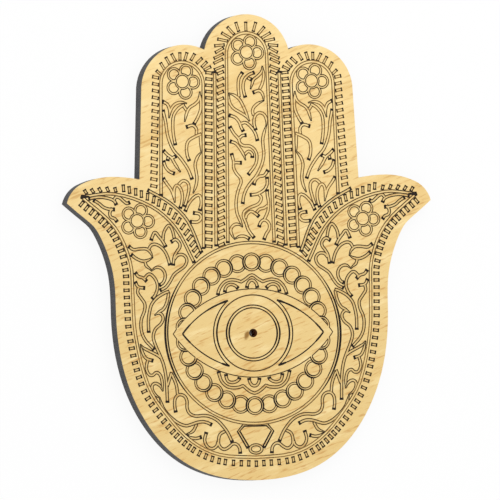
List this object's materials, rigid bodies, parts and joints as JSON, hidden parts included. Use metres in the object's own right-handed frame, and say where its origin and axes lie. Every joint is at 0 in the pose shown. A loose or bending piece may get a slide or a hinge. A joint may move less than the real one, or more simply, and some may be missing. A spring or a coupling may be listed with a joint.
{
  "type": "hamsa hand ornament",
  "caption": "Flat plywood hamsa hand with spread thumbs, scored with an eye, beads, flowers and scrolling vines, and a small hole through the pupil.",
  "frame": {"origin": "middle of the hand's overall width and height, on the back face that it lies on", "axes": "+X to the hand's right thumb as seen from the front, +Y to the fingertips, +Z out of the scored face"},
  "size_m": [0.1242, 0.1518, 0.006],
  "materials": {
    "face_wood": "bare sanded veneer",
    "inner_wood": "bare veneer, charred at its edge",
    "glue": "cured resin glue"
  },
  "bodies": {
    "root": {"face_veneer": "face_wood", "face_glue_line": "glue", "upper_crossband": "inner_wood", "upper_glue_line": "glue", "core_veneer": "inner_wood", "lower_glue_line": "glue", "lower_crossband": "inner_wood", "back_glue_line": "glue", "back_veneer": "face_wood"}
  },
  "joints": []
}
